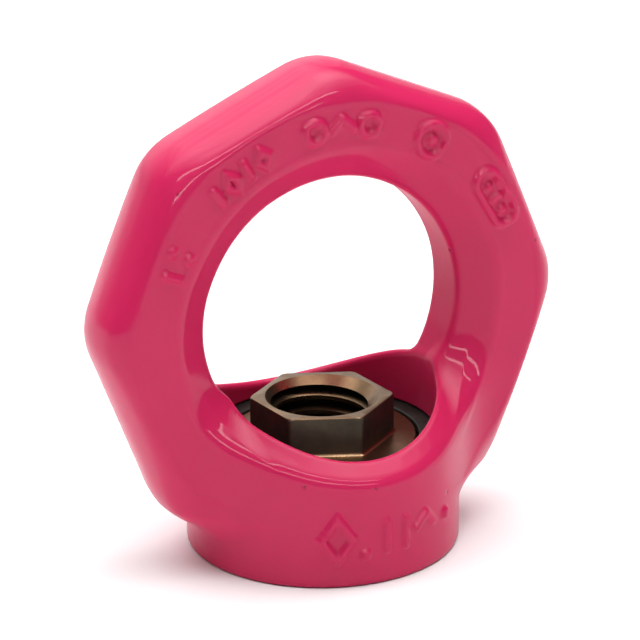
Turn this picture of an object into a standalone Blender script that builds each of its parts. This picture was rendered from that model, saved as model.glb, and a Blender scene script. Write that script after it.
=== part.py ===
"""Swivel eye nut for an M12 stud: a forged lifting eye that turns on a captive flanged hexagon nut.

Metres, +Z up. The origin is on the swivel axis, in the plane that the part is clamped against.
The eye lies in the XZ plane, so its two faces look towards -Y and +Y.
"""

import math

import bmesh
import bpy
import numpy as np

MM = 0.001

# Eye: the ring that takes the hook
EYE_RADIUS = 15.0 * MM
EYE_HEIGHT = 26.75 * MM  # of its centre above the base
EYE_WALL = 2.8 * MM  # half-height of the sheared wall round the hole
FACE_HALF = 5.5 * MM  # half-thickness of the ring across its flat band
BAND_INNER = 19.0 * MM  # the band's two radii round the eye
BAND_OUTER = 24.1 * MM
OUTER_FALL = 0.58  # slope of the cone that turns the outline's corners down

# Outline: eight rounded corners, given as angle from +X and distance from the outline's centre
OUTLINE_HEIGHT = 26.36 * MM
CORNER_RADIUS = 7.63 * MM
CORNERS = (
    (90.0, 20.2 * MM),
    (46.6, 19.66 * MM),
    (2.1, 19.15 * MM),
    (-46.95, 19.6 * MM),
)
BOTTOM_CORNER = 21.0 * MM  # the eighth corner is inside the collar
RIM_DRAFT = 1.37 * MM  # how far the outer wall leans in by the time it reaches the face

# Collar: the round foot that holds the nut
COLLAR_RADIUS = 15.0 * MM
SADDLE_RADIUS = 18.2 * MM  # its top is dished, like a trough along Y of this radius
SADDLE_LOWEST = 13.5 * MM
RIM_RISE = 0.5  # slope at which the rim climbs from the pocket to its crest
RIM_LAND_BACK = 1.04 * MM  # at the back it has returned to its first height this far out
RIM_LAND_FRONT = 0.3 * MM  # and at the front this far
FALL_BACK = 1.3  # slope from the crest down and out to the wall, steeper by the legs
FALL_FRONT = 0.8
RIM_BLEND = 8.0 * MM  # distance over which the back's rim becomes the front's
FACING_STOCK = 2.5 * MM  # forged below the base and turned off

# Rounding of the forging's edges and corners
EDGE_ROUND = 1.2 * MM
HOLE_ROUND = 0.6 * MM
RIM_ROUND = 0.6 * MM
ROOT_FILLET = 1.2 * MM  # between legs and collar, at the pocket's rim and under the ring
FLANK_FILLET = 6.2 * MM  # and where the legs run down into the collar on the outside
FLANK_START_FRONT = 13.0 * MM  # the change starts this far from the eye centre on the marked side
FLANK_START_BACK = 16.0 * MM  # and this far on the other side, where the rim meets the legs in a corner
BLEND_START = 1.5 * MM  # the change from back to front starts this far behind the middle
FLANK_BLEND = 4.5 * MM  # and takes this much of the thickness
FLANK_FOOT = 3.0 * MM  # and at this height
FLANK_RUN = 4.0 * MM  # distance over which one becomes the other

# Machined bore of the collar, from the top down
POCKET_RADIUS = 12.4 * MM
POCKET_TOP = 25.5 * MM  # the cutter ends in the open eye
GROOVE_RADIUS = 13.05 * MM
GROOVE_BOTTOM = 10.7 * MM
GROOVE_TOP = 12.1 * MM
SEAT_HEIGHT = 8.0 * MM
SLEEVE_BORE_RADIUS = 9.6 * MM

# Snap ring in the groove
SNAP_INNER_RADIUS = 10.55 * MM
SNAP_OUTER_RADIUS = 12.8 * MM
SNAP_BOTTOM = 10.95 * MM
SNAP_TOP = 11.85 * MM
SNAP_GAP_ANGLE = math.radians(24.0)
SNAP_GAP_AT = math.radians(62.0)

# Nut
SLEEVE_RADIUS = 9.3 * MM
SLEEVE_CHAMFER = 0.4 * MM
FLANGE_RADIUS = 12.1 * MM
FLANGE_BOTTOM = 8.4 * MM
FLANGE_TOP = 10.65 * MM
STEP_RADIUS = 10.25 * MM
STEP_TOP = 11.8 * MM
HEX_ACROSS_FLATS = 13.73 * MM  # takes a 14 mm spanner
HEX_TURN = math.radians(37.2)
HEX_TOP = 16.2 * MM
CHAMFER_CIRCLE = 7.65 * MM  # the corners are turned down outside this radius
CHAMFER_SLOPE = math.tan(math.radians(30.0))
THREAD_RADIUS = 6.0 * MM  # M12
THREAD_PITCH = 1.75 * MM
THREAD_DEPTH = 5.0 / 8.0 * math.cos(math.radians(30.0)) * THREAD_PITCH
COUNTERSINK_RADIUS = 6.2 * MM

# Fineness
SPINE_RADIUS = 20.5 * MM  # circle inside the ring that its sections are drawn from
LONGEST_LOOK = 26.0 * MM  # further than any surface is from that circle
LOOKS = 721  # directions searched for the surface in each section
HALVINGS = 40
SECTIONS = 120  # round the eye
CROWDING = 0.35  # draws sections closer together through the collar
SECTION_POINTS = 44
BEND_WEIGHT = 1.2 * MM  # length that a full bend counts for when points are shared out
ROUND_STEPS = 64  # of turned pieces
THREAD_STEPS = 32
SHARP_ANGLE = math.radians(30.0)
TOOL_REACH = 3.0 * MM  # how far cutters run out past what they cut
OVERLAP = 0.5 * MM  # of shapes that are joined
AXIS_SIZE = 10.0 * MM


def clear_scene():
    for obj in list(bpy.data.objects):
        bpy.data.objects.remove(obj, do_unlink=True)


def material(name, colour, roughness, metallic):
    made = bpy.data.materials.new(name)
    made.use_nodes = True
    shader = made.node_tree.nodes["Principled BSDF"]
    shader.inputs["Base Color"].default_value = (*colour, 1.0)
    shader.inputs["Roughness"].default_value = roughness
    shader.inputs["Metallic"].default_value = metallic
    made.diffuse_color = (*colour, 1.0)
    return made


def on_circle(radius, angle, height):
    return radius * math.cos(angle), radius * math.sin(angle), height


def shade(mesh):
    mesh.shade_smooth()
    mesh.set_sharp_from_angle(angle=SHARP_ANGLE)


def mesh_object(name, bm, surface=None, parent=None):
    """An object from this bmesh, shaded smooth with its sharp edges kept."""
    bmesh.ops.recalc_face_normals(bm, faces=bm.faces)
    mesh = bpy.data.meshes.new(name)
    bm.to_mesh(mesh)
    bm.free()
    shade(mesh)
    if surface:
        mesh.materials.append(surface)
    obj = bpy.data.objects.new(name, mesh)
    bpy.context.collection.objects.link(obj)
    obj.parent = parent
    return obj


def machine(obj, *steps):
    """Takes each tool's volume out of the object, joins it on or keeps what it covers."""
    for operation, shape in steps:
        tool = mesh_object("tool", shape, parent=obj.parent)
        tool.hide_render = True
        tool.display_type = "WIRE"
        boolean = obj.modifiers.new(operation.title(), "BOOLEAN")
        boolean.operation = operation
        boolean.solver = "EXACT"
        boolean.object = tool
    graph = bpy.context.evaluated_depsgraph_get()
    finished = bpy.data.meshes.new_from_object(obj.evaluated_get(graph))
    for modifier in list(obj.modifiers):
        tool = modifier.object
        obj.modifiers.remove(modifier)
        bpy.data.objects.remove(tool, do_unlink=True)
    finished.name = obj.name
    obj.data = finished
    shade(finished)


def turned(profile, sweep, start):
    """A flat ring's bmesh: a closed profile of (radius, height) points swept round Z, capped at its ends."""
    bm = bmesh.new()
    rings = []
    for step in range(ROUND_STEPS + 1):
        angle = start + sweep * step / ROUND_STEPS
        rings.append([bm.verts.new(on_circle(radius, angle, height)) for radius, height in profile])
    for here, there in zip(rings, rings[1:]):
        for k in range(len(profile)):
            n = (k + 1) % len(profile)
            bm.faces.new((here[k], there[k], there[n], here[n]))
    bm.faces.new(rings[0])
    bm.faces.new(rings[-1])
    return bm


def turned_solid(profile):
    """A solid's bmesh, turned round Z from a profile whose first and last points are on the axis."""
    bm = bmesh.new()
    foot = bm.verts.new((0.0, 0.0, profile[0][1]))
    head = bm.verts.new((0.0, 0.0, profile[-1][1]))
    rings = []
    for step in range(ROUND_STEPS):
        angle = 2.0 * math.pi * step / ROUND_STEPS
        rings.append([bm.verts.new(on_circle(radius, angle, height)) for radius, height in profile[1:-1]])
    for here, there in zip(rings, rings[1:] + rings[:1]):
        bm.faces.new((foot, there[0], here[0]))
        bm.faces.new((head, here[-1], there[-1]))
        for k in range(len(here) - 1):
            bm.faces.new((here[k], there[k], there[k + 1], here[k + 1]))
    return bm


def soft_max(a, b, width):
    """The larger of two distances, with the corner between them rounded over this width."""
    overlap = np.maximum(width - np.abs(a - b), 0.0)
    return np.maximum(a, b) + overlap**2 / (4.0 * width)


def soft_min(a, b, width):
    return -soft_max(-a, -b, width)


def outline_corners():
    """Centres of the outline's corner circles as (x, z), round the ring."""
    right = [
        (reach * math.cos(math.radians(angle)), reach * math.sin(math.radians(angle)))
        for angle, reach in CORNERS[1:]
    ]
    left = [(-x, z) for x, z in reversed(right)]
    ends = [(0.0, CORNERS[0][1])], [(0.0, -BOTTOM_CORNER)]
    loop = ends[0] + right + ends[1] + left
    return [(x, z + OUTLINE_HEIGHT) for x, z in loop]


def outline_distance(x, z):
    """Distance outside the ring's outline, negative inside it."""
    corners = outline_corners()
    nearest = np.full(x.shape, np.inf)
    inside = np.full(x.shape, True)
    for (ax, az), (bx, bz) in zip(corners, corners[1:] + corners[:1]):
        ex, ez = bx - ax, bz - az
        length = math.hypot(ex, ez)
        along = np.clip(((x - ax) * ex + (z - az) * ez) / length**2, 0.0, 1.0)
        nearest = np.minimum(nearest, np.hypot(x - ax - along * ex, z - az - along * ez))
        inside &= (x - ax) * ez - (z - az) * ex < 0.0
    return np.where(inside, -nearest, nearest) - CORNER_RADIUS


def ring_distance(x, y, z):
    """Distance outside the flat forged ring: two walls, and on each side a band between two slopes."""
    side = np.abs(y)
    reach = np.hypot(x, z - EYE_HEIGHT)
    rise = (FACE_HALF - EYE_WALL) / (BAND_INNER - EYE_RADIUS)
    inner = (side - EYE_WALL - (reach - EYE_RADIUS) * rise) / math.hypot(1.0, rise)
    outer = (side - FACE_HALF + (reach - BAND_OUTER) * OUTER_FALL) / math.hypot(1.0, OUTER_FALL)
    faces = soft_max(soft_max(side - FACE_HALF, inner, EDGE_ROUND), outer, EDGE_ROUND)
    rim = outline_distance(x, z) + RIM_DRAFT * (side / FACE_HALF) ** 2
    return soft_max(soft_max(faces, EYE_RADIUS - reach, HOLE_ROUND), rim, EDGE_ROUND)


def collar_distance(x, y, z):
    """Distance outside the round foot before it is bored."""
    radius = np.hypot(x, y)
    across = POCKET_RADIUS * x / np.maximum(radius, POCKET_RADIUS)
    trough = SADDLE_LOWEST + SADDLE_RADIUS - np.sqrt(SADDLE_RADIUS**2 - across**2)
    front = np.clip(0.5 - y / RIM_BLEND, 0.0, 1.0)
    land_width = RIM_LAND_BACK + (RIM_LAND_FRONT - RIM_LAND_BACK) * front
    fall = (FALL_BACK + (FALL_FRONT - FALL_BACK) * front) * (1.0 + (across / SADDLE_RADIUS) ** 2)
    shoulder = (z - trough + (radius - POCKET_RADIUS - land_width) * fall) / np.hypot(1.0, fall)
    land = (z - trough - (radius - POCKET_RADIUS) * RIM_RISE) / math.hypot(1.0, RIM_RISE)
    return soft_max(radius - COLLAR_RADIUS, soft_max(shoulder, land, RIM_ROUND), RIM_ROUND)


def root_fillet(x, y, z):
    """Width of the blend between legs and collar, which is widest on the legs' flanks."""
    front = np.clip((BLEND_START - y) / FLANK_BLEND, 0.0, 1.0)
    front = front * front * (3.0 - 2.0 * front)
    start = FLANK_START_BACK + (FLANK_START_FRONT - FLANK_START_BACK) * front
    outward = np.clip((np.hypot(x, z - EYE_HEIGHT) - start) / FLANK_RUN, 0.0, 1.0)
    upward = np.clip((z - FLANK_FOOT) / FLANK_RUN, 0.0, 1.0)
    return ROOT_FILLET + (FLANK_FILLET - ROOT_FILLET) * outward * upward


def forging_distance(x, y, z):
    body = soft_min(ring_distance(x, y, z), collar_distance(x, y, z), root_fillet(x, y, z))
    return np.maximum(body, -z - FACING_STOCK)


def forging_sections():
    """Sections of the forging through the eye's centre, as points[section, point, xyz]."""
    even = np.linspace(0.0, 2.0 * math.pi, SECTIONS, endpoint=False)[:, None]
    turn = even - CROWDING * np.cos(even)
    look = np.linspace(0.0, 2.0 * math.pi, LOOKS)[None, :]
    near = np.zeros((SECTIONS, LOOKS))
    away = np.full((SECTIONS, LOOKS), LONGEST_LOOK)

    def place(distance):
        reach = SPINE_RADIUS + distance * np.cos(look)
        return (
            reach * np.cos(turn),
            distance * np.sin(look),
            EYE_HEIGHT + reach * np.sin(turn),
        )

    for _ in range(HALVINGS):
        middle = 0.5 * (near + away)
        outside = forging_distance(*place(middle)) > 0.0
        near = np.where(outside, near, middle)
        away = np.where(outside, middle, away)
    return spaced(np.stack(place(0.5 * (near + away)), axis=-1))


def spaced(sections):
    """Each section with its points spread evenly along it, closer together where it bends."""
    made = []
    for points in sections:
        step = np.diff(points, axis=0)
        length = np.linalg.norm(step, axis=1)
        heading = step / np.maximum(length, 1e-9)[:, None]
        bend = np.linalg.norm(np.diff(heading, axis=0, append=heading[:1]), axis=1)
        weight = length + BEND_WEIGHT * bend
        travelled = np.concatenate([[0.0], np.cumsum(weight)])
        stops = np.linspace(0.0, travelled[-1], SECTION_POINTS, endpoint=False)
        made.append([np.interp(stops, travelled, points[:, axis]) for axis in range(3)])
    return np.array(made).transpose(0, 2, 1)


def forging_mesh():
    """The forging before machining: its sections joined into one closed skin."""
    sections = forging_sections()
    bm = bmesh.new()
    loops = [[bm.verts.new(point) for point in section] for section in sections]
    for i, loop in enumerate(loops):
        following = loops[(i + 1) % len(loops)]
        for k in range(SECTION_POINTS):
            n = (k + 1) % SECTION_POINTS
            bm.faces.new((loop[k], loop[n], following[n], following[k]))
    return bm


def bore_cutter():
    """Everything the lathe takes off the forging: the facing of its base and the stepped bore."""
    below = -2.0 * FACING_STOCK
    wide = 2.0 * COLLAR_RADIUS
    return turned_solid(
        (
            (0.0, below),
            (wide, below),
            (wide, 0.0),
            (SLEEVE_BORE_RADIUS, 0.0),
            (SLEEVE_BORE_RADIUS, SEAT_HEIGHT),
            (POCKET_RADIUS, SEAT_HEIGHT),
            (POCKET_RADIUS, GROOVE_BOTTOM),
            (GROOVE_RADIUS, GROOVE_BOTTOM),
            (GROOVE_RADIUS, GROOVE_TOP),
            (POCKET_RADIUS, GROOVE_TOP),
            (POCKET_RADIUS, POCKET_TOP),
            (0.0, POCKET_TOP),
        )
    )


def ring_body(parent):
    powder_coat = material("pink_powder_coat", (0.63, 0.03, 0.12), 0.28, 0.0)
    body = mesh_object("ring_body", forging_mesh(), powder_coat, parent)
    machine(body, ("DIFFERENCE", bore_cutter()))


def snap_ring(parent):
    steel = material("black_spring_steel", (0.012, 0.012, 0.010), 0.42, 0.6)
    profile = (
        (SNAP_INNER_RADIUS, SNAP_BOTTOM),
        (SNAP_OUTER_RADIUS, SNAP_BOTTOM),
        (SNAP_OUTER_RADIUS, SNAP_TOP),
        (SNAP_INNER_RADIUS, SNAP_TOP),
    )
    sweep = 2.0 * math.pi - SNAP_GAP_ANGLE
    start = SNAP_GAP_AT + SNAP_GAP_ANGLE / 2.0
    mesh_object("snap_ring", turned(profile, sweep, start), steel, parent)


def nut_blank():
    """Sleeve, flange and step of the nut."""
    return turned_solid(
        (
            (0.0, 0.0),
            (SLEEVE_RADIUS - SLEEVE_CHAMFER, 0.0),
            (SLEEVE_RADIUS, SLEEVE_CHAMFER),
            (SLEEVE_RADIUS, FLANGE_BOTTOM),
            (FLANGE_RADIUS, FLANGE_BOTTOM),
            (FLANGE_RADIUS, FLANGE_TOP),
            (STEP_RADIUS, FLANGE_TOP),
            (STEP_RADIUS, STEP_TOP),
            (0.0, STEP_TOP),
        )
    )


def hexagon():
    """Hexagon of the nut: a prism whose foot is buried in the step."""
    bm = bmesh.new()
    corner = HEX_ACROSS_FLATS / math.sqrt(3.0)
    foot = STEP_TOP - OVERLAP
    bmesh.ops.create_cone(
        bm,
        cap_ends=True,
        segments=6,
        radius1=corner,
        radius2=corner,
        depth=HEX_TOP - foot,
    )
    for vert in bm.verts:
        x, y, z = vert.co
        angle = math.atan2(y, x) + HEX_TURN - math.radians(90.0)
        vert.co = on_circle(corner, angle, z + (HEX_TOP + foot) / 2.0)
    return bm


def chamfer_cone():
    """Common volume that turns the hexagon's corners down."""
    wide = CHAMFER_CIRCLE + TOOL_REACH
    wall = FLANGE_RADIUS + TOOL_REACH
    return turned_solid(
        (
            (0.0, -TOOL_REACH),
            (wall, -TOOL_REACH),
            (wall, STEP_TOP),
            (wide, HEX_TOP - TOOL_REACH * CHAMFER_SLOPE),
            (CHAMFER_CIRCLE, HEX_TOP),
            (0.0, HEX_TOP),
        )
    )


def tap():
    """Cutter for the M12 thread: a screw that runs out past both ends of the nut."""
    minor = THREAD_RADIUS - THREAD_DEPTH
    rise = THREAD_DEPTH * math.tan(math.radians(30.0))
    root = THREAD_PITCH / 8.0
    crest = THREAD_PITCH - root - 2.0 * rise
    profile = (
        (minor, 0.0),
        (minor, crest),
        (THREAD_RADIUS, crest + rise),
        (THREAD_RADIUS, crest + rise + root),
    )
    start = -2.0 * THREAD_PITCH
    turns = math.ceil((HEX_TOP - start) / THREAD_PITCH) + 1
    steps = turns * THREAD_STEPS
    bm = bmesh.new()
    stations = []
    for step in range(steps + 1):
        angle = 2.0 * math.pi * step / THREAD_STEPS
        height = start + THREAD_PITCH * step / THREAD_STEPS
        stations.append([bm.verts.new(on_circle(r, angle, height + up)) for r, up in profile])
    for here, there in zip(stations, stations[1:]):
        for k in range(len(profile) - 1):
            bm.faces.new((here[k], there[k], there[k + 1], here[k + 1]))
    for step in range(steps - THREAD_STEPS):
        below = stations[step], stations[step + 1]
        above = stations[step + THREAD_STEPS], stations[step + THREAD_STEPS + 1]
        bm.faces.new((below[0][-1], below[1][-1], above[1][0], above[0][0]))
    rims = bmesh.ops.holes_fill(bm, edges=bm.edges)["faces"]
    bmesh.ops.poke(bm, faces=rims)
    return bm


def countersink(height, direction):
    """Cutter that opens one end of the thread at 45 degrees."""
    deep = height - direction * (COUNTERSINK_RADIUS - OVERLAP)
    out = height + direction * TOOL_REACH
    profile = (
        (0.0, deep),
        (OVERLAP, deep),
        (COUNTERSINK_RADIUS + TOOL_REACH, out),
        (0.0, out),
    )
    return turned_solid(profile)


def nut(parent):
    steel = material("oiled_dark_steel", (0.10, 0.065, 0.05), 0.38, 0.85)
    machine(
        mesh_object("hex_flange_nut", nut_blank(), steel, parent),
        ("UNION", hexagon()),
        ("INTERSECT", chamfer_cone()),
        ("DIFFERENCE", tap()),
        ("DIFFERENCE", countersink(HEX_TOP, 1.0)),
        ("DIFFERENCE", countersink(0.0, -1.0)),
    )


def empty(name, parent=None):
    made = bpy.data.objects.new(name, None)
    made.empty_display_size = AXIS_SIZE
    bpy.context.collection.objects.link(made)
    made.parent = parent
    return made


def main():
    clear_scene()
    mounting = empty("mounting_axis")
    swivel = empty("swivel_axis", mounting)
    nut(mounting)
    ring_body(swivel)
    snap_ring(swivel)


main()
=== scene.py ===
"""Looks of a swivel eye nut: the fine forging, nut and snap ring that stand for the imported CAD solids.

Metres, +Z up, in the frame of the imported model. The swivel axis is Z and the clamped base is at z = 0.
The eye lies in the XZ plane. Its marked face looks towards -Y.
"""

import math

import bmesh
import bpy
import numpy as np
from mathutils import Matrix, Vector


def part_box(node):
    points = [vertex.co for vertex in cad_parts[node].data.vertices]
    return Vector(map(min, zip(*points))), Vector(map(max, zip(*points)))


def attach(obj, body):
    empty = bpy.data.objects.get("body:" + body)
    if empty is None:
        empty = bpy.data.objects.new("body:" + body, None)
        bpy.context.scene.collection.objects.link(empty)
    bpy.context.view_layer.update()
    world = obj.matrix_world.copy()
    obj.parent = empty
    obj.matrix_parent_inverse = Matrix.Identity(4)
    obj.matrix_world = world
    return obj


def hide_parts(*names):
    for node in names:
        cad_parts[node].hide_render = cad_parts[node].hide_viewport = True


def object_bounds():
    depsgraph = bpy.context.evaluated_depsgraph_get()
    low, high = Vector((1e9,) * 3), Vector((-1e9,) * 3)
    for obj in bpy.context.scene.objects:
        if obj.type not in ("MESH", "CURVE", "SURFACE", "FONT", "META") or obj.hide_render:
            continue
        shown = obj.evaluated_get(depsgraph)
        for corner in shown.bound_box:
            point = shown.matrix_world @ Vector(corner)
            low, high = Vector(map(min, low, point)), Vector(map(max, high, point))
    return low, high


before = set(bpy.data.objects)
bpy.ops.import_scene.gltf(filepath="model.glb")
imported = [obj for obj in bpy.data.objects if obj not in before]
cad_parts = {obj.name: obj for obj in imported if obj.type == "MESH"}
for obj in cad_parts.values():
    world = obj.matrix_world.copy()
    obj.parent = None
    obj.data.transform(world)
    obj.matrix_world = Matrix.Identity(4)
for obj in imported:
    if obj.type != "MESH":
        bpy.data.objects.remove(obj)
cad_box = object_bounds()

MM = 0.001
TURN = 2.0 * math.pi

ring_low, ring_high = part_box("ring_body")
nut_low, nut_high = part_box("hex_flange_nut")
snap_low, snap_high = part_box("snap_ring")

# Eye: the ring that takes the hook
EYE_RADIUS = 15.0 * MM
EYE_HEIGHT = 26.75 * MM
EYE_WALL = 2.8 * MM
WALL_WAVE = 0.14 * MM
FACE_HALF = 5.5 * MM
BAND_INNER = 19.0 * MM
BAND_OUTER = 24.1 * MM
BAND_SINK = 0.16 * MM
BAND_EDGE = 0.7 * MM
OUTER_FALL = 0.58

# Outline: eight rounded corners, given as angle from +X and distance from the outline's centre
OUTLINE_HEIGHT = 26.36 * MM
CORNER_RADIUS = 7.63 * MM
CORNERS = (
    (90.0, 20.2 * MM),
    (46.6, 19.66 * MM),
    (2.1, 19.15 * MM),
    (-46.95, 19.6 * MM),
)
BOTTOM_CORNER = 21.0 * MM
RIM_DRAFT = 1.37 * MM

# Collar: its saddle-shaped rim has a narrow land that rises outwards, then falls away to the side
COLLAR_RADIUS = ring_high.y
SADDLE_RADIUS = 18.2 * MM
SADDLE_LOWEST = 13.5 * MM
RIM_RISE = 0.5
RIM_LAND_BACK = 1.04 * MM
RIM_LAND_FRONT = 0.3 * MM
FALL_BACK = 1.3
FALL_FRONT = 0.8
RIM_BLEND = 8.0 * MM
FACING_STOCK = 2.5 * MM

# Rounding of the forging's edges and corners. The legs' flanks run into the collar in a wide blend.
EDGE_ROUND = 1.2 * MM
BAND_ROUND = 0.6 * MM
HOLE_ROUND = 0.6 * MM
RIM_ROUND = 0.8 * MM
ROOT_FILLET = 0.8 * MM
FLANK_FILLET = 6.2 * MM
FLANK_START_FRONT = 13.0 * MM
FLANK_START_BACK = 16.0 * MM
BLEND_START = 1.5 * MM
FLANK_BLEND = 4.5 * MM
FLANK_RUN = 4.0 * MM
FLANK_FOOT = 3.0 * MM
BORE_EDGE_ROUND = 0.45 * MM
BASE_EDGE_ROUND = 0.5 * MM

# Machined bore of the collar
POCKET_RADIUS = 12.4 * MM
POCKET_TOP = 25.5 * MM
GROOVE_RADIUS = 13.05 * MM
GROOVE_BOTTOM = 10.7 * MM
GROOVE_TOP = 12.1 * MM
SEAT_HEIGHT = 8.0 * MM
SLEEVE_BORE_RADIUS = 9.6 * MM
BORE_CHAMFER = 0.3 * MM

# Nut
SLEEVE_RADIUS = 9.3 * MM
SLEEVE_CHAMFER = 0.4 * MM
FLANGE_RADIUS = nut_high.x
FLANGE_BOTTOM = 8.4 * MM
FLANGE_TOP = 10.65 * MM
STEP_RADIUS = 10.25 * MM
STEP_TOP = 11.8 * MM
HEX_ACROSS_FLATS = 13.73 * MM
HEX_TURN = math.radians(37.2)
HEX_TOP = nut_high.z
HEX_CORNER_ROUND = 0.3 * MM
HEX_FOOT_FILLET = 0.35 * MM
CHAMFER_CIRCLE = 7.65 * MM
CHAMFER_SLOPE = math.tan(math.radians(30.0))
NUT_EDGE = 0.12 * MM
THREAD_RADIUS = 6.0 * MM
THREAD_PITCH = 1.75 * MM
THREAD_DEPTH = 5.0 / 8.0 * math.cos(math.radians(30.0)) * THREAD_PITCH
THREAD_START = -4.1 * MM
COUNTERSINK_RADIUS = 6.2 * MM

# Snap ring
SNAP_INNER_RADIUS = 10.55 * MM
SNAP_OUTER_RADIUS = snap_high.x
SNAP_EDGE = 0.2 * MM
SNAP_GAP_ANGLE = math.radians(24.0)
SNAP_GAP_AT = math.radians(62.0)

# Raised generic marks
MARK_HEIGHT = 0.45 * MM
MARK_SOFT = 0.42 * MM
STROKE = 0.38 * MM

# Fineness of the meshes. The forging's skin is found by looks from the spine, a circle inside the ring,
# and the end of each look by halving. Crowding brings sections together round the collar, and the
# hexagon's points at its corners. Points that lie by a rounded edge are settled on it at the end.
SPINE_RADIUS = 20.5 * MM
LONGEST_LOOK = 26.0 * MM
LOOKS = 721
HALVINGS = 22
CROWDING = 0.12
HEX_CROWDING = 0.13
SMOOTHINGS = 12
SETTLINGS = 4
NUDGE = 0.01 * MM
LEAST_STEEPNESS = 0.2
SECTIONS = 560
SECTION_POINTS = 171
BEND_WEIGHT = 1.2 * MM
ROUND_STEPS = 288
THREAD_STEPS = 96
WALL_STEP = 0.25 * MM
TOOL_REACH = 3.0 * MM
OVERLAP = 0.5 * MM


# Meshes from grids of points

def mesh_object(name, verts, faces):
    mesh = bpy.data.meshes.new(name)
    mesh.from_pydata([tuple(v) for v in verts], [], faces)
    mesh.validate()
    bm = bmesh.new()
    bm.from_mesh(mesh)
    bmesh.ops.recalc_face_normals(bm, faces=bm.faces)
    bm.to_mesh(mesh)
    bm.free()
    obj = bpy.data.objects.new(name, mesh)
    bpy.context.scene.collection.objects.link(obj)
    return obj


def grid_object(name, grid, rows_close=False):
    """A skin over grid[row, column, xyz]. Columns always close; rows close too, or end in flat caps."""
    rows, columns, _ = grid.shape
    faces = []
    for i in range(rows if rows_close else rows - 1):
        here, there = i * columns, (i + 1) % rows * columns
        for k in range(columns):
            n = (k + 1) % columns
            faces.append((here + k, here + n, there + n, there + k))
    if not rows_close:
        last = (rows - 1) * columns
        faces.append(tuple(range(columns)))
        faces.append(tuple(range(last, last + columns)))
    return mesh_object(name, grid.reshape(-1, 3), faces)


def turned_grid(profile, angles):
    """Grid of a profile of (radius, height) points turned round Z. Rows follow the profile."""
    radius, height = np.array(profile).T
    x = radius[:, None] * np.cos(angles)[None, :]
    y = radius[:, None] * np.sin(angles)[None, :]
    z = np.repeat(height[:, None], len(angles), axis=1)
    return np.stack([x, y, z], axis=-1)


def full_turn(steps):
    return np.linspace(0.0, TURN, steps, endpoint=False)


def machine(obj, *steps):
    """Joins each tool to the object, or takes it out, and deletes it."""
    for operation, tool in steps:
        boolean = obj.modifiers.new(operation.title(), "BOOLEAN")
        boolean.operation = operation
        boolean.solver = "MANIFOLD"
        boolean.object = tool
    graph = bpy.context.evaluated_depsgraph_get()
    finished = bpy.data.meshes.new_from_object(obj.evaluated_get(graph))
    obj.modifiers.clear()
    for _, tool in steps:
        bpy.data.objects.remove(tool, do_unlink=True)
    finished.name = obj.name
    obj.data = finished
    return obj


def shade(obj, sharp_degrees):
    obj.data.shade_smooth()
    obj.data.set_sharp_from_angle(angle=math.radians(sharp_degrees))


# Shape of the forging, as distances outside it

def soft_max(a, b, width):
    overlap = np.maximum(width - np.abs(a - b), 0.0)
    return np.maximum(a, b) + overlap**2 / (4.0 * width)


def soft_min(a, b, width):
    return -soft_max(-a, -b, width)


def outline_corners():
    right = [
        (reach * math.cos(math.radians(angle)), reach * math.sin(math.radians(angle)))
        for angle, reach in CORNERS[1:]
    ]
    left = [(-x, z) for x, z in reversed(right)]
    loop = [(0.0, CORNERS[0][1])] + right + [(0.0, -BOTTOM_CORNER)] + left
    return [(x, z + OUTLINE_HEIGHT) for x, z in loop]


def outline_distance(x, z):
    corners = outline_corners()
    nearest = np.full(x.shape, np.inf)
    inside = np.full(x.shape, True)
    for (ax, az), (bx, bz) in zip(corners, corners[1:] + corners[:1]):
        ex, ez = bx - ax, bz - az
        length = math.hypot(ex, ez)
        along = np.clip(((x - ax) * ex + (z - az) * ez) / length**2, 0.0, 1.0)
        nearest = np.minimum(nearest, np.hypot(x - ax - along * ex, z - az - along * ez))
        inside &= (x - ax) * ez - (z - az) * ex < 0.0
    return np.where(inside, -nearest, nearest) - CORNER_RADIUS


def sheared_wall(x, z):
    """Half-height of the wall round the hole, wavy where the punch broke through."""
    angle = np.arctan2(z - EYE_HEIGHT, x)
    wave = 0.5 * np.sin(3.0 * angle + 0.7) + 0.35 * np.sin(7.0 * angle + 2.0) + 0.1 * np.sin(17.0 * angle)
    return EYE_WALL + WALL_WAVE * wave


def ring_distance(x, y, z):
    """Distance outside the ring: sloping inner faces, a sunk band, falling outer faces and the outline."""
    side = np.abs(y)
    reach = np.hypot(x, z - EYE_HEIGHT)
    rise = (FACE_HALF - EYE_WALL) / (BAND_INNER - EYE_RADIUS)
    inner = (side - sheared_wall(x, z) - (reach - EYE_RADIUS) * rise) / math.hypot(1.0, rise)
    outer = (side - FACE_HALF + (reach - BAND_OUTER) * OUTER_FALL) / math.hypot(1.0, OUTER_FALL)
    in_band = np.clip(np.minimum(reach - BAND_INNER, BAND_OUTER - reach) / BAND_EDGE, 0.0, 1.0)
    band = side - FACE_HALF + BAND_SINK * in_band
    faces = soft_max(soft_max(band, inner, BAND_ROUND), outer, BAND_ROUND)
    rim = outline_distance(x, z) + RIM_DRAFT * (side / FACE_HALF) ** 2
    return soft_max(soft_max(faces, EYE_RADIUS - reach, HOLE_ROUND), rim, EDGE_ROUND)


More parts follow.
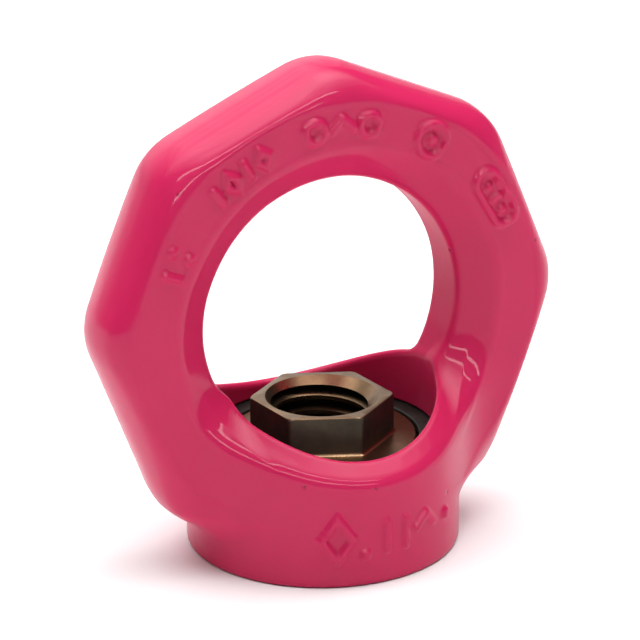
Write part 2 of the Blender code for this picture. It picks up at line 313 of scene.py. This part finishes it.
def collar_distance(x, y, z):
    """Distance outside the solid collar, whose rim dips at the front and back and climbs to the legs."""
    radius = np.hypot(x, y)
    across = POCKET_RADIUS * x / np.maximum(radius, POCKET_RADIUS)
    trough = SADDLE_LOWEST + SADDLE_RADIUS - np.sqrt(SADDLE_RADIUS**2 - across**2)
    front = np.clip(0.5 - y / RIM_BLEND, 0.0, 1.0)
    land_width = RIM_LAND_BACK + (RIM_LAND_FRONT - RIM_LAND_BACK) * front
    fall = (FALL_BACK + (FALL_FRONT - FALL_BACK) * front) * (1.0 + (across / SADDLE_RADIUS) ** 2)
    shoulder = (z - trough + (radius - POCKET_RADIUS - land_width) * fall) / np.hypot(1.0, fall)
    land = (z - trough - (radius - POCKET_RADIUS) * RIM_RISE) / math.hypot(1.0, RIM_RISE)
    return soft_max(radius - COLLAR_RADIUS, soft_max(shoulder, land, RIM_ROUND), RIM_ROUND)


def root_fillet(x, y, z):
    """Width of the blend between legs and collar, which starts further in on the marked side."""
    front = np.clip((BLEND_START - y) / FLANK_BLEND, 0.0, 1.0)
    front = front * front * (3.0 - 2.0 * front)
    start = FLANK_START_BACK + (FLANK_START_FRONT - FLANK_START_BACK) * front
    outward = np.clip((np.hypot(x, z - EYE_HEIGHT) - start) / FLANK_RUN, 0.0, 1.0)
    upward = np.clip((z - FLANK_FOOT) / FLANK_RUN, 0.0, 1.0)
    return ROOT_FILLET + (FLANK_FILLET - ROOT_FILLET) * outward * upward


def unmarked_distance(x, y, z):
    """Distance outside the forging without its marks, with stock left on below the base."""
    body = soft_min(ring_distance(x, y, z), collar_distance(x, y, z), root_fillet(x, y, z))
    return np.maximum(body, -z - FACING_STOCK)


def forging_distance(x, y, z):
    return unmarked_distance(x, y, z) - np.maximum(band_marks(x, y, z), collar_marks(x, y, z))


def bored_distance(points):
    """Distance outside the forging once its rim and base edges are rounded over."""
    x, y, z = points.T
    radius = np.hypot(x, y)
    pocket = np.where((z > GROOVE_TOP) & (z < POCKET_TOP), POCKET_RADIUS - radius, -1.0)
    return soft_max(soft_max(forging_distance(x, y, z), pocket, BORE_EDGE_ROUND), -z, BASE_EDGE_ROUND)


# Raised marks: plain bars, dots, hoops, a slot, arrowheads and diamonds

def bar(u, v, half_length):
    """Distance from an upright bar with round ends."""
    return np.hypot(u, np.maximum(np.abs(v) - half_length, 0.0)) - STROKE


def dot(u, v, radius):
    return np.hypot(u, v) - radius


def hoop(u, v, radius):
    return np.abs(np.hypot(u, v) - radius) - STROKE


def slot_outline(u, v, half_length, radius):
    """Distance from the outline of a long round-ended slot that lies along u."""
    return np.abs(np.hypot(np.maximum(np.abs(u) - half_length, 0.0), v) - radius) - STROKE


def arrowhead(u, v, size):
    """Distance from two strokes that meet in a point at the top."""
    run = np.clip((np.abs(u) + size - v) / (2.0 * size), 0.0, 1.0)
    return np.hypot(np.abs(u) - run * size, v - size + run * size) - STROKE


def diamond(u, v, size):
    return np.abs((np.abs(u) + np.abs(v) * 0.7 - size) / math.hypot(1.0, 0.7)) - STROKE


def raised(distance):
    """Height of a mark whose edge is at distance 0, with soft flanks."""
    t = np.clip(0.5 - distance / MARK_SOFT, 0.0, 1.0)
    return MARK_HEIGHT * t * t * (3.0 - 2.0 * t)


# On the band: degrees round the eye from +X, distance from its centre, shape, and the shape's sizes
BAND_MARKS = (
    (158.0, 21.2 * MM, bar, (0.9 * MM,)),
    (151.5, 20.2 * MM, dot, (0.55 * MM,)),
    (151.5, 22.3 * MM, dot, (0.55 * MM,)),
    (132.0, 21.4 * MM, bar, (0.9 * MM,)),
    (126.5, 21.4 * MM, diamond, (0.75 * MM,)),
    (121.0, 21.4 * MM, bar, (0.9 * MM,)),
    (115.5, 21.4 * MM, diamond, (0.75 * MM,)),
    (98.5, 21.5 * MM, hoop, (1.1 * MM,)),
    (90.0, 21.1 * MM, arrowhead, (1.3 * MM,)),
    (81.5, 21.5 * MM, hoop, (1.1 * MM,)),
    (60.3, 21.3 * MM, hoop, (1.75 * MM,)),
    (60.3, 21.3 * MM, dot, (0.6 * MM,)),
    (30.7, 21.3 * MM, slot_outline, (2.0 * MM, 1.4 * MM)),
    (35.0, 21.3 * MM, dot, (0.45 * MM,)),
    (30.7, 21.3 * MM, bar, (0.4 * MM,)),
    (26.4, 21.3 * MM, dot, (0.45 * MM,)),
)
# On the collar: degrees round the swivel axis from +X, height, shape, and the shape's sizes
COLLAR_MARKS = (
    (-110.0, 5.6 * MM, diamond, (1.7 * MM,)),
    (-98.5, 3.6 * MM, dot, (0.6 * MM,)),
    (-89.0, 5.4 * MM, bar, (1.6 * MM,)),
    (-80.0, 5.4 * MM, bar, (1.6 * MM,)),
    (-69.0, 5.4 * MM, arrowhead, (1.4 * MM,)),
    (-55.0, 5.4 * MM, dot, (0.7 * MM,)),
)


def band_marks(x, y, z):
    height = np.zeros(x.shape)
    for angle, reach, shape, sizes in BAND_MARKS:
        out = np.array((math.cos(math.radians(angle)), math.sin(math.radians(angle))))
        dx, dz = x - reach * out[0], z - EYE_HEIGHT - reach * out[1]
        clockwise, outward = dx * out[1] - dz * out[0], dx * out[0] + dz * out[1]
        height = np.maximum(height, raised(shape(clockwise, outward, *sizes)))
    return np.where(y < -EYE_WALL, height, 0.0)


def collar_marks(x, y, z):
    turn = np.arctan2(y, x)
    height = np.zeros(x.shape)
    for angle, level, shape, sizes in COLLAR_MARKS:
        along = COLLAR_RADIUS * (turn - math.radians(angle))
        height = np.maximum(height, raised(shape(along, z - level, *sizes)))
    return np.where(np.hypot(x, y) > POCKET_RADIUS, height, 0.0)


# Forging

def skin_at(turn, look, distance_outside):
    """Points where looks from the circle inside the ring meet the skin."""

    def place(distance):
        reach = SPINE_RADIUS + distance * np.cos(look)
        return (
            reach * np.cos(turn),
            distance * np.sin(look),
            EYE_HEIGHT + reach * np.sin(turn),
        )

    near = np.zeros(np.broadcast(turn, look).shape)
    away = near + LONGEST_LOOK
    for _ in range(HALVINGS):
        middle = 0.5 * (near + away)
        outside = distance_outside(*place(middle)) > 0.0
        near = np.where(outside, near, middle)
        away = np.where(outside, middle, away)
    return np.stack(place(0.5 * (near + away)), axis=-1)


def detail_wanted(points):
    """How close together points should be: closest on the marked side, widest where the lathe cuts."""
    x, y, z = np.moveaxis(points, -1, 0)
    cut = (np.hypot(x, y) < POCKET_RADIUS - OVERLAP) & (z < POCKET_TOP)
    return np.where(cut | (z < -OVERLAP), 0.15, np.where(y < 0.0, 1.0, 0.7))


def shared_looks(sections, look):
    """For each section, looks that share its points out evenly, closer together where it bends."""
    step = np.diff(sections, axis=1)
    length = np.linalg.norm(step, axis=2)
    heading = step / np.maximum(length, 1e-9)[:, :, None]
    turned = np.linalg.norm(heading - np.roll(heading, 1, axis=1), axis=2)
    weight = (length + BEND_WEIGHT * turned) * detail_wanted(sections[:, 1:])
    for _ in range(SMOOTHINGS):
        weight = 0.5 * weight + 0.25 * (np.roll(weight, 1, axis=0) + np.roll(weight, -1, axis=0))
    travelled = np.pad(np.cumsum(weight, axis=1), ((0, 0), (1, 0)))
    stops = np.linspace(0.0, 1.0, SECTION_POINTS, endpoint=False)
    return np.array([np.interp(stops * walked[-1], walked, look) for walked in travelled])


def forging_sections():
    """Sections of the forging through the eye's centre, as points[section, point, xyz]."""
    even = np.linspace(0.0, TURN, SECTIONS, endpoint=False)[:, None]
    turn = even - CROWDING * np.cos(even)
    look = np.linspace(0.0, TURN, LOOKS)
    plain_skin = skin_at(turn, look[None, :], unmarked_distance)
    return skin_at(turn, shared_looks(plain_skin, look), forging_distance)


def bore_profile():
    """What the lathe takes out, from below the base up: facing, sleeve bore, seat, groove and pocket."""
    below = -2.0 * FACING_STOCK
    wide = 2.0 * COLLAR_RADIUS
    lead = SLEEVE_BORE_RADIUS + BORE_CHAMFER
    wall = np.arange(GROOVE_TOP, POCKET_TOP, WALL_STEP)
    profile = [
        (OVERLAP, below),
        (wide, below),
        (wide, 0.0),
        (lead, 0.0),
        (SLEEVE_BORE_RADIUS, BORE_CHAMFER),
        (SLEEVE_BORE_RADIUS, SEAT_HEIGHT),
        (POCKET_RADIUS, SEAT_HEIGHT),
        (POCKET_RADIUS, GROOVE_BOTTOM),
        (GROOVE_RADIUS, GROOVE_BOTTOM),
        (GROOVE_RADIUS, GROOVE_TOP),
    ]
    profile += [(POCKET_RADIUS, height) for height in wall]
    return profile + [(OVERLAP, wall[-1])]


def settle(obj, near):
    """Moves the points that are near a rounded edge onto it."""
    count = len(obj.data.vertices)
    flat = np.empty(count * 3)
    obj.data.vertices.foreach_get("co", flat)
    points = flat.reshape(-1, 3)
    chosen = near(points)
    moving = points[chosen]
    for _ in range(SETTLINGS):
        here = bored_distance(moving)
        slope = np.stack(
            [(bored_distance(moving + NUDGE * axis) - here) / NUDGE for axis in np.eye(3)], axis=-1
        )
        steepness = np.maximum((slope**2).sum(axis=1), LEAST_STEEPNESS)
        moving = moving - (here / steepness)[:, None] * slope
    points[chosen] = moving
    obj.data.vertices.foreach_set("co", points.reshape(-1))
    obj.data.update()


def by_an_edge(points):
    """Which points lie by the pocket's rim or by the base's outer edge."""
    x, y, z = points.T
    radius = np.hypot(x, y)
    skin = forging_distance(x, y, z)
    rim = (np.abs(radius - POCKET_RADIUS) < BORE_EDGE_ROUND) & (z > GROOVE_TOP + WALL_STEP / 2.0)
    rim &= z < POCKET_TOP - BORE_EDGE_ROUND
    base = (z < BASE_EDGE_ROUND) & (radius > COLLAR_RADIUS - BASE_EDGE_ROUND)
    return (rim | base) & (skin > -BORE_EDGE_ROUND)


def forged_eye():
    eye = grid_object("forged_eye", forging_sections(), rows_close=True)
    bore = grid_object("bore", turned_grid(bore_profile(), full_turn(ROUND_STEPS)))
    machine(eye, ("DIFFERENCE", bore))
    settle(eye, by_an_edge)
    shade(eye, 40.0)
    return eye


# Nut

def hex_angles():
    """Angles round the nut, closer together at the hexagon's corners."""
    even = full_turn(ROUND_STEPS)
    return HEX_TURN + even - HEX_CROWDING * np.sin(6.0 * even)


def hex_radius(angles):
    """Radius of the hexagon with slightly rounded corners."""
    corner = HEX_ACROSS_FLATS / math.sqrt(3.0)
    low, high = np.full(len(angles), 0.5 * corner), np.full(len(angles), corner)
    for _ in range(HALVINGS):
        radius = 0.5 * (low + high)
        x, y = radius * np.cos(angles), radius * np.sin(angles)
        spread = np.full(len(angles), -1.0)
        for face in range(6):
            facing = HEX_TURN + math.radians(30.0 + 60.0 * face)
            flat = x * math.cos(facing) + y * math.sin(facing) - 0.5 * HEX_ACROSS_FLATS
            spread = soft_max(spread, flat, HEX_CORNER_ROUND)
        low, high = np.where(spread > 0.0, low, radius), np.where(spread > 0.0, radius, high)
    return radius


def nut_grid():
    """Rows of the nut's outside, from the middle of its foot to the middle of its top.

    It is round up to the step, and from there on a hexagon with a small fillet and a chamfered top.
    """
    angles = hex_angles()
    flats = hex_radius(angles)
    turned_rows = (
        (OVERLAP, 0.0),
        (SLEEVE_RADIUS - SLEEVE_CHAMFER, 0.0),
        (SLEEVE_RADIUS, SLEEVE_CHAMFER),
        (SLEEVE_RADIUS, FLANGE_BOTTOM),
        (FLANGE_RADIUS - NUT_EDGE, FLANGE_BOTTOM),
        (FLANGE_RADIUS, FLANGE_BOTTOM + NUT_EDGE),
        (FLANGE_RADIUS, FLANGE_TOP - NUT_EDGE),
        (FLANGE_RADIUS - NUT_EDGE, FLANGE_TOP),
        (STEP_RADIUS, FLANGE_TOP),
        (STEP_RADIUS, STEP_TOP - NUT_EDGE),
        (STEP_RADIUS - NUT_EDGE, STEP_TOP),
    )
    rows = list(turned_grid(turned_rows, angles))

    def hex_row(radius, height):
        return np.stack([radius * np.cos(angles), radius * np.sin(angles), height + 0.0 * angles], axis=-1)

    for step in range(6):
        bend = 0.5 * math.pi * step / 5.0
        out = HEX_FOOT_FILLET * (1.0 - math.sin(bend))
        up = HEX_FOOT_FILLET * (1.0 - math.cos(bend))
        rows.append(hex_row(flats + out, STEP_TOP + up))
    drop = np.maximum(flats - CHAMFER_CIRCLE, 0.0) * CHAMFER_SLOPE
    rows.append(hex_row(flats, HEX_TOP - drop - NUT_EDGE))
    rows.append(hex_row(flats - 0.3 * NUT_EDGE, HEX_TOP - drop - 0.3 * NUT_EDGE))
    rows.append(hex_row(np.minimum(flats - NUT_EDGE, CHAMFER_CIRCLE), HEX_TOP))
    rows.append(hex_row(np.full(len(angles), OVERLAP), HEX_TOP))
    return np.array(rows)


def tap():
    """Screw that cuts the thread. It runs out past both ends of the nut."""
    minor = THREAD_RADIUS - THREAD_DEPTH
    rise = THREAD_DEPTH * math.tan(math.radians(30.0))
    root = THREAD_PITCH / 8.0
    crest = THREAD_PITCH - root - 2.0 * rise
    profile = (
        (minor, 0.0),
        (minor, crest),
        (THREAD_RADIUS, crest + rise),
        (THREAD_RADIUS, crest + rise + root),
    )
    steps = (math.ceil((HEX_TOP - THREAD_START) / THREAD_PITCH) + 1) * THREAD_STEPS
    bm = bmesh.new()
    stations = []
    for step in range(steps + 1):
        angle = TURN * step / THREAD_STEPS
        height = THREAD_START + THREAD_PITCH * step / THREAD_STEPS
        stations.append(
            [bm.verts.new((r * math.cos(angle), r * math.sin(angle), height + up)) for r, up in profile]
        )
    for here, there in zip(stations, stations[1:]):
        for k in range(len(profile) - 1):
            bm.faces.new((here[k], there[k], there[k + 1], here[k + 1]))
    for step in range(steps - THREAD_STEPS):
        below = stations[step], stations[step + 1]
        above = stations[step + THREAD_STEPS], stations[step + THREAD_STEPS + 1]
        bm.faces.new((below[0][-1], below[1][-1], above[1][0], above[0][0]))
    rims = bmesh.ops.holes_fill(bm, edges=bm.edges)["faces"]
    bmesh.ops.poke(bm, faces=rims)
    bmesh.ops.recalc_face_normals(bm, faces=bm.faces)
    mesh = bpy.data.meshes.new("tap")
    bm.to_mesh(mesh)
    bm.free()
    obj = bpy.data.objects.new("tap", mesh)
    bpy.context.scene.collection.objects.link(obj)
    return obj


def countersink(height, direction):
    deep = height - direction * (COUNTERSINK_RADIUS - OVERLAP)
    out = height + direction * TOOL_REACH
    profile = ((OVERLAP, deep), (COUNTERSINK_RADIUS + TOOL_REACH, out), (OVERLAP, out))
    return grid_object("countersink", turned_grid(profile, full_turn(ROUND_STEPS)))


def swivel_nut():
    blank = grid_object("swivel_nut", nut_grid())
    machine(
        blank,
        ("DIFFERENCE", tap()),
        ("DIFFERENCE", countersink(HEX_TOP, 1.0)),
        ("DIFFERENCE", countersink(0.0, -1.0)),
    )
    shade(blank, 25.0)
    return blank


# Snap ring

def retaining_ring():
    """Flat spring ring with eased edges and a gap."""
    low, high = snap_low.z, snap_high.z
    inner, outer = SNAP_INNER_RADIUS, SNAP_OUTER_RADIUS
    corners = (
        (inner + SNAP_EDGE, low + SNAP_EDGE, 180.0),
        (outer - SNAP_EDGE, low + SNAP_EDGE, 270.0),
        (outer - SNAP_EDGE, high - SNAP_EDGE, 0.0),
        (inner + SNAP_EDGE, high - SNAP_EDGE, 90.0),
    )
    profile = []
    for radius, height, begin in corners:
        for step in range(5):
            bend = math.radians(begin + 90.0 * step / 4.0)
            profile.append((radius + SNAP_EDGE * math.cos(bend), height + SNAP_EDGE * math.sin(bend)))
    start = SNAP_GAP_AT + SNAP_GAP_ANGLE / 2.0
    angles = np.linspace(start, start + TURN - SNAP_GAP_ANGLE, ROUND_STEPS)
    grid = turned_grid(profile, angles).transpose(1, 0, 2)
    ring = grid_object("retaining_ring", grid)
    shade(ring, 40.0)
    return ring


# Materials

class Nodes:
    """Short calls for building one material's node tree. Lengths are in metres."""

    def __init__(self, name):
        self.material = bpy.data.materials.new(name)
        self.material.use_nodes = True
        self.tree = self.material.node_tree
        self.shader = self.tree.nodes["Principled BSDF"]
        self.place = self.add("ShaderNodeTexCoord").outputs["Object"]

    def add(self, kind, **settings):
        node = self.tree.nodes.new(kind)
        for name, value in settings.items():
            setattr(node, name, value)
        return node

    def link(self, source, socket):
        if isinstance(source, (int, float, tuple)):
            socket.default_value = source
        else:
            self.tree.links.new(source, socket)

    def axes(self):
        node = self.add("ShaderNodeSeparateXYZ")
        self.link(self.place, node.inputs["Vector"])
        return node.outputs["X"], node.outputs["Y"], node.outputs["Z"]

    def length(self, a, b):
        """Length of a line that runs a one way and b across it."""
        return self.math("SQRT", self.math("MULTIPLY_ADD", a, a, self.math("MULTIPLY", b, b)))

    def math(self, operation, a, b=0.0, c=0.0):
        node = self.add("ShaderNodeMath", operation=operation)
        for socket, value in zip(node.inputs, (a, b, c)):
            self.link(value, socket)
        return node.outputs[0]

    def noise(self, size, detail=2.0, rough=0.5):
        """Noise from 0 to 1 whose lumps are about this size across."""
        node = self.add("ShaderNodeTexNoise")
        self.link(self.place, node.inputs["Vector"])
        node.inputs["Scale"].default_value = 1.0 / size
        node.inputs["Detail"].default_value = detail
        node.inputs["Roughness"].default_value = rough
        return node.outputs["Fac"]

    def ramp(self, value, *stops):
        node = self.add("ShaderNodeValToRGB")
        self.link(value, node.inputs["Fac"])
        while len(node.color_ramp.elements) < len(stops):
            node.color_ramp.elements.new(1.0)
        for element, (position, colour) in zip(node.color_ramp.elements, stops):
            element.position = position
            element.color = (*colour, 1.0)
        return node.outputs["Color"]

    def span(self, value, low, high, to_low, to_high):
        node = self.add("ShaderNodeMapRange")
        for socket, number in zip(node.inputs, (value, low, high, to_low, to_high)):
            self.link(number, socket)
        return node.outputs["Result"]

    def mix(self, factor, a, b):
        node = self.add("ShaderNodeMix", data_type="RGBA")
        self.link(factor, node.inputs["Factor"])
        self.link(a, node.inputs["A"])
        self.link(b, node.inputs["B"])
        return node.outputs["Result"]

    def bump(self, height, depth, before=None):
        """A bump of this depth where height goes from 0 to 1."""
        node = self.add("ShaderNodeBump")
        node.inputs["Strength"].default_value = 1.0
        node.inputs["Distance"].default_value = depth
        self.link(height, node.inputs["Height"])
        if before:
            self.link(before, node.inputs["Normal"])
        return node.outputs["Normal"]

    def set(self, **values):
        for name, value in values.items():
            self.link(value, self.shader.inputs[name.replace("_", " ")])


# Pits of the forging under the coat, in millimetres
PITS = (
    (-18.65, -4.87, 43.44),
    (-12.43, -4.69, 18.08),
    (-8.19, -12.57, 11.75),
    (-1.03, -14.96, 11.03),
    (9.12, -11.90, 7.51),
    (14.33, -2.54, 31.41),
    (23.35, -5.25, 31.95),
    (-14.10, 5.30, 41.60),
    (19.20, 5.30, 17.40),
    (3.70, 14.50, 5.20),
)
PIT_RADIUS = 0.22 * MM
PIT_DEPTH = 0.10 * MM
# Gloss of the coat, and how much of it the hole's wall has lost from this height up
GLOSS = 0.5
GLOSS_LOST_IN_HOLE = 0.4
HOLE_WALL_FOOT = 19.0 * MM


def powder_coat():
    """Glossy pink powder coat: soft orange peel, a few pits with painted shade in them, and less gloss on
    the hole's sheared wall.
    """
    n = Nodes("pink_powder_coat")
    cloud = n.noise(9.0 * MM, detail=3.0)
    pink = n.ramp(cloud, (0.0, (0.600, 0.014, 0.092)), (1.0, (0.680, 0.020, 0.112)))
    away = 1.0
    for centre in PITS:
        gap = n.add("ShaderNodeVectorMath", operation="DISTANCE")
        n.link(n.place, gap.inputs[0])
        gap.inputs[1].default_value = [MM * c for c in centre]
        away = n.math("MINIMUM", away, gap.outputs["Value"])
    painted_pit_shade = n.span(away, 0.4 * PIT_RADIUS, PIT_RADIUS, 1.0, 0.0)
    # The pits' dark colour is painted shade in their hollows.
    colour = n.mix(n.math("MULTIPLY", painted_pit_shade, 0.6), pink, (0.16, 0.012, 0.03, 1.0))
    skin = n.bump(n.noise(1.6 * MM, detail=1.0), 0.010 * MM)
    skin = n.bump(n.noise(6.0 * MM, detail=1.0), 0.06 * MM, skin)
    skin = n.bump(n.math("SUBTRACT", 1.0, n.span(away, 0.0, 1.8 * PIT_RADIUS, 1.0, 0.0)), PIT_DEPTH, skin)
    x, _, z = n.axes()
    reach = n.length(x, n.math("SUBTRACT", z, EYE_HEIGHT))
    in_hole = n.span(reach, EYE_RADIUS + 0.1 * MM, EYE_RADIUS + HOLE_ROUND, 1.0, 0.0)
    on_wall = n.math("MULTIPLY", in_hole, n.span(z, SADDLE_LOWEST, HOLE_WALL_FOOT, 0.35, 1.0))
    n.set(
        Base_Color=colour,
        Roughness=n.span(n.noise(3.0 * MM), 0.0, 1.0, 0.35, 0.55),
        Normal=skin,
        Specular_IOR_Level=0.08,
        Coat_Weight=n.math("MULTIPLY_ADD", on_wall, -GLOSS_LOST_IN_HOLE, GLOSS),
        Coat_Roughness=0.05,
        Coat_IOR=1.43,
    )
    return n.material


# Spacing of the lathe tool's marks
TOOL_FEED = 0.18 * MM


def turned_steel():
    """Brown oiled steel, with painted shade darkening the hexagon's sides and painted shade down in the
    thread.
    """
    n = Nodes("oiled_dark_steel")
    patches = n.noise(3.0 * MM, detail=5.0, rough=0.6)
    brown = n.ramp(patches, (0.25, (0.150, 0.092, 0.052)), (0.75, (0.310, 0.190, 0.106)))
    # Darker colour on the hexagon's sides: painted shade, as the upright sides catch less of the light
    # from above than the top.
    painted_side_shade = n.ramp(patches, (0.25, (0.045, 0.038, 0.028)), (0.75, (0.100, 0.082, 0.060)))
    x, y, z = n.axes()
    radius = n.length(x, y)
    above_step = n.span(z, STEP_TOP + 0.1 * MM, STEP_TOP + 0.5 * MM, 0.0, 1.0)
    below_top = n.span(z, HEX_TOP - 0.12 * MM, HEX_TOP - 0.04 * MM, 1.0, 0.0)
    outside = n.math("GREATER_THAN", radius, COUNTERSINK_RADIUS + 0.1 * MM)
    sides = n.math("MULTIPLY", n.math("MULTIPLY", above_step, below_top), outside)
    crest = THREAD_RADIUS - THREAD_DEPTH
    # Painted shade down in the thread: near black, darkest in the thread's roots.
    painted_thread_shade = n.span(radius, crest + 0.1 * MM, crest + 0.5 * MM, 0.3, 0.95)
    in_bore = n.math("LESS_THAN", radius, THREAD_RADIUS + 0.05 * MM)
    below_rim = n.math("SUBTRACT", radius, COUNTERSINK_RADIUS - HEX_TOP + 0.1 * MM)
    below_sink = n.math("LESS_THAN", z, below_rim)
    painted_thread_shade = n.math("MULTIPLY", n.math("MULTIPLY", painted_thread_shade, in_bore), below_sink)
    colour = n.mix(sides, brown, painted_side_shade)
    colour = n.mix(painted_thread_shade, colour, (0.030, 0.026, 0.016, 1.0))
    rings = n.math("SINE", n.math("MULTIPLY", radius, TURN / TOOL_FEED))
    marks = n.math("MULTIPLY_ADD", rings, 0.25, n.noise(0.25 * MM, detail=3.0))
    marks = n.math("MULTIPLY", marks, n.math("SUBTRACT", 1.0, sides))
    skin = n.bump(marks, 0.004 * MM)
    skin = n.bump(n.noise(2.0 * MM), 0.02 * MM, skin)
    n.set(
        Base_Color=colour,
        Metallic=1.0,
        Roughness=n.math("MULTIPLY_ADD", sides, 0.18, n.span(patches, 0.2, 0.8, 0.36, 0.24)),
        Normal=skin,
    )
    return n.material


def phosphated_steel():
    """Black phosphated spring steel with a fine grain and lighter rubbed patches."""
    n = Nodes("black_phosphate")
    grain = n.noise(0.3 * MM, detail=4.0, rough=0.7)
    rubbed = n.noise(4.0 * MM, detail=3.0)
    black = n.ramp(rubbed, (0.35, (0.010, 0.011, 0.009)), (0.75, (0.035, 0.036, 0.028)))
    n.set(
        Base_Color=black,
        Metallic=0.5,
        Roughness=n.span(grain, 0.3, 0.7, 0.38, 0.55),
        Normal=n.bump(grain, 0.008 * MM),
    )
    return n.material


def pale_floor():
    """Matt white card with a faint unevenness."""
    n = Nodes("pale_floor")
    tone = n.noise(0.4, detail=2.0)
    n.set(
        Base_Color=n.ramp(tone, (0.3, (0.90, 0.90, 0.90)), (0.7, (0.93, 0.93, 0.93))),
        Roughness=n.span(tone, 0.3, 0.7, 0.75, 0.85),
        Specular_IOR_Level=0.1,
    )
    return n.material


def dress(obj, material, body, node):
    """Gives the piece its material and its body, and hides the CAD node that it stands for."""
    obj.data.materials.clear()
    obj.data.materials.append(material)
    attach(obj, body)
    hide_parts(node)


# Studio, in metres, watts and degrees, with the camera's sensor and lens in millimetres

FLOOR_HALF = 3.0
FLOOR_FLAT = 1.5
FLOOR_CURVE = 0.6
FLOOR_GAP = 0.02 * MM
SOFTBOX_PANELS = 4
SOFTBOX_GAP = 0.01
TUBE_TURN = -14.0
TUBE_RISES = (26.0, 50.0)
TUBE_SIZE = (1.3, 0.08)
TUBE_POWER = 3.2
WORLD_LIGHT = 0.05
CAMERA_TURN, CAMERA_RISE, CAMERA_ROLL = -26.03, 20.39, -0.41
CAMERA_PLACE = (-0.15325, -0.31375, 0.15586)
CAMERA_SENSOR = 36.0
CAMERA_LENS = 194.4
CAMERA_SHIFT = (-0.0017, -0.0157)
CAMERA_NEAR = 0.01


def floor():
    """A large pale sheet under the part, gently curved up far behind it."""
    across = np.linspace(-FLOOR_HALF, FLOOR_HALF, 9)
    rows = []
    for t in np.linspace(-FLOOR_HALF, FLOOR_HALF, 25):
        lift = FLOOR_CURVE * max(t - FLOOR_FLAT, 0.0) ** 2
        rows.append([(x, t, cad_box[0].z - FLOOR_GAP + lift) for x in across])
    grid = np.array(rows)
    columns = grid.shape[1]
    faces = []
    for i in range(len(rows) - 1):
        for k in range(columns - 1):
            a = i * columns + k
            faces.append((a, a + 1, a + columns + 1, a + columns))
    sheet = mesh_object("floor", grid.reshape(-1, 3), faces)
    shade(sheet, 60.0)
    sheet.data.materials.append(pale_floor())


def area_light(name, place, aim, size, power, only_in_gloss=False):
    data = bpy.data.lights.new(name, "AREA")
    data.shape = "RECTANGLE"
    data.size, data.size_y = size
    data.energy = power
    lamp = bpy.data.objects.new(name, data)
    bpy.context.scene.collection.objects.link(lamp)
    lamp.location = place
    lamp.visible_diffuse = not only_in_gloss
    lamp.rotation_euler = (Vector(aim) - Vector(place)).to_track_quat("-Z", "Y").to_euler()


def softbox(name, place, aim, size, power):
    """Panels one behind another, each larger than the one before, so that its light fades at the edges."""
    shares = [((k + 1) / SOFTBOX_PANELS) ** 2 for k in range(SOFTBOX_PANELS)]
    outward = (Vector(place) - Vector(aim)).normalized()
    for k, share in enumerate(shares):
        panel = [side * math.sqrt(share) for side in size]
        spot = Vector(place) + outward * k * SOFTBOX_GAP
        area_light(f"{name}_{k}", spot, aim, panel, power * share / sum(shares))


def polar(turn, rise):
    """The place one metre off, at these degrees round from straight ahead of the marked face and up."""
    turn, rise = math.radians(turn), math.radians(rise)
    return (math.sin(turn) * math.cos(rise), -math.cos(turn) * math.cos(rise), math.sin(rise))


def studio():
    """White surroundings, softboxes overhead and behind, and thin tubes that draw lines on the gloss."""
    world = bpy.data.worlds.new("studio")
    bpy.context.scene.world = world
    world.use_nodes = True
    sky = world.node_tree.nodes["Background"]
    sky.inputs["Color"].default_value = (1.0, 1.0, 1.0, 1.0)
    sky.inputs["Strength"].default_value = WORLD_LIGHT
    heart = (0.0, 0.0, EYE_HEIGHT)
    softbox("overhead_softbox", (-0.15, 0.28, 1.5), heart, (2.45, 2.45), 36.0)
    softbox("key_softbox", (0.40, -0.25, 1.45), heart, (1.7, 1.5), 16.0)
    softbox("back_wall", (0.0, 1.7, 0.85), heart, (3.4, 1.5), 11.0)
    for rise in TUBE_RISES:
        place = polar(TUBE_TURN, rise)
        area_light(f"tube_{rise:.0f}", place, heart, TUBE_SIZE, TUBE_POWER, only_in_gloss=True)


def camera():
    """Looks slightly down on the marked face from its left."""
    turn, roll = math.radians(CAMERA_TURN), math.radians(CAMERA_ROLL)
    back = Vector(polar(CAMERA_TURN, CAMERA_RISE))
    level = Vector((math.cos(turn), math.sin(turn), 0.0))
    right = level * math.cos(roll) + back.cross(level) * math.sin(roll)
    eye = bpy.data.objects.new("camera", bpy.data.cameras.new("camera"))
    bpy.context.scene.collection.objects.link(eye)
    pose = Matrix((right, back.cross(right), back)).transposed().to_4x4()
    pose.translation = Vector(CAMERA_PLACE)
    eye.matrix_world = pose
    eye.data.sensor_width = CAMERA_SENSOR
    eye.data.lens = CAMERA_LENS
    eye.data.shift_x, eye.data.shift_y = CAMERA_SHIFT
    eye.data.clip_start = CAMERA_NEAR
    bpy.context.scene.camera = eye


dress(forged_eye(), powder_coat(), "swivel_eye", "ring_body")
dress(retaining_ring(), phosphated_steel(), "swivel_eye", "snap_ring")
dress(swivel_nut(), turned_steel(), "nut", "hex_flange_nut")
floor()
studio()
camera()
bpy.context.scene.view_settings.view_transform = "Standard"
